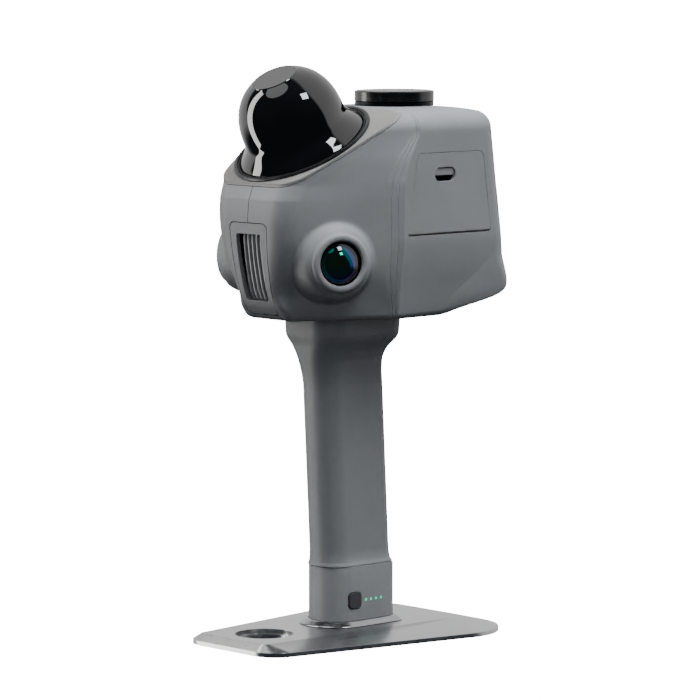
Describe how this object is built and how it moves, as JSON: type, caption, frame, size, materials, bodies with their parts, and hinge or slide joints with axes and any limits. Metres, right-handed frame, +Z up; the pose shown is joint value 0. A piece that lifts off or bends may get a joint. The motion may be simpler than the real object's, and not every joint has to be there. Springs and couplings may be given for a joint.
{
  "type": "laser scanner",
  "caption": "Hand-held laser scanner: spinning lidar under a tilted dome, side cameras, chin vent, card door and a raked battery grip on a flat metal foot plate.",
  "frame": {"origin": "centre of the footprint's box on the surface that the foot plate stands on", "axes": "-Y is the front with the vent and the lidar, +X is the side with the card door, the charge button and the lights, +Z is up"},
  "size_m": [0.1046, 0.144, 0.2748],
  "materials": {
    "casing": "fine matte grey plastic",
    "deck": "warm grey satin paint",
    "gloss_black": "polished black",
    "black_rubber": "matt black rubber",
    "dark_metal": "dark anodised",
    "aluminium": "brushed",
    "steel": "satin",
    "fins": "dark bead-blasted",
    "mirror": "polished",
    "lens_glass": "coated lens, dark",
    "screen_glass": "black screen glass",
    "board": "green circuit board",
    "cells": "blue wrapped cells",
    "button": "black, soft touch",
    "light": "green, lit"
  },
  "bodies": {
    "scanner": {"base_pad": "black_rubber", "base_plate": "aluminium", "battery_pack": "cells", "cap_base": "dark_metal", "card_slot": "steel", "charge_board": "board", "charge_led_1": "light", "charge_led_2": "light", "charge_led_3": "light", "charge_led_4": "light", "chassis": "aluminium", "door_hinge_pin": "steel", "foot_block": "aluminium", "foot_ring": "aluminium", "foot_shell": "casing", "grip_shell": "casing", "head_screw_1": "steel", "head_screw_2": "steel", "head_screw_3": "steel", "head_screw_4": "steel", "heat_sink": "fins", "left_camera_module": "dark_metal", "left_camera_ring": "casing", "left_lens": "lens_glass", "left_shell": "casing", "lidar_base": "aluminium", "lidar_bezel": "dark_metal", "lidar_dome": "gloss_black", "lidar_gasket": "black_rubber", "lidar_motor": "steel", "main_board": "board", "port_tray": "black_rubber", "processor_cooler": "aluminium", "right_camera_module": "dark_metal", "right_camera_ring": "casing", "right_lens": "lens_glass", "right_shell": "casing", "screen_frame": "gloss_black", "screen_glass": "screen_glass", "screen_panel": "dark_metal", "top_deck": "deck", "usb_port": "steel", "vent_frame": "casing"},
    "lidar_rotor": {"lidar_rotor": "mirror"},
    "storage_door": {"storage_door": "casing"},
    "door_latch": {"door_latch": "casing"},
    "charge_button": {"charge_button": "button"},
    "top_cap": {"top_cap": "gloss_black"},
    "base_screw": {"base_screw": "steel"}
  },
  "joints": [
    {"name": "lidar_spin", "type": "hinge", "parent": "scanner", "child": "lidar_rotor", "pos_m": [0, -0.0241, 0.2374], "axis": [0, -0.4839, 0.8751], "continuous": true},
    {"name": "door_hinge", "type": "hinge", "parent": "scanner", "child": "storage_door", "pos_m": [0.0444, 0, 0.1965], "axis": [0, 1, 0], "range_deg": [0, 95]},
    {"name": "latch_slide", "type": "slide", "parent": "storage_door", "child": "door_latch", "axis": [0, 0, -1], "range_m": [0, 0.002], "stiffness_N_per_m": 250, "springref_m": -0.001},
    {"name": "button_press", "type": "slide", "parent": "scanner", "child": "charge_button", "axis": [-1, 0, 0], "range_m": [0, 0.0007], "stiffness_N_per_m": 400, "springref_m": -0.001},
    {"name": "cap_turn", "type": "hinge", "parent": "scanner", "child": "top_cap", "pos_m": [0, 0.0358, 0.258], "axis": [0, 0, 1], "continuous": true},
    {"name": "base_screw_turn", "type": "hinge", "parent": "scanner", "child": "base_screw", "pos_m": [0, 0.0051, 0.005], "axis": [0, 0, 1], "continuous": true}
  ]
}
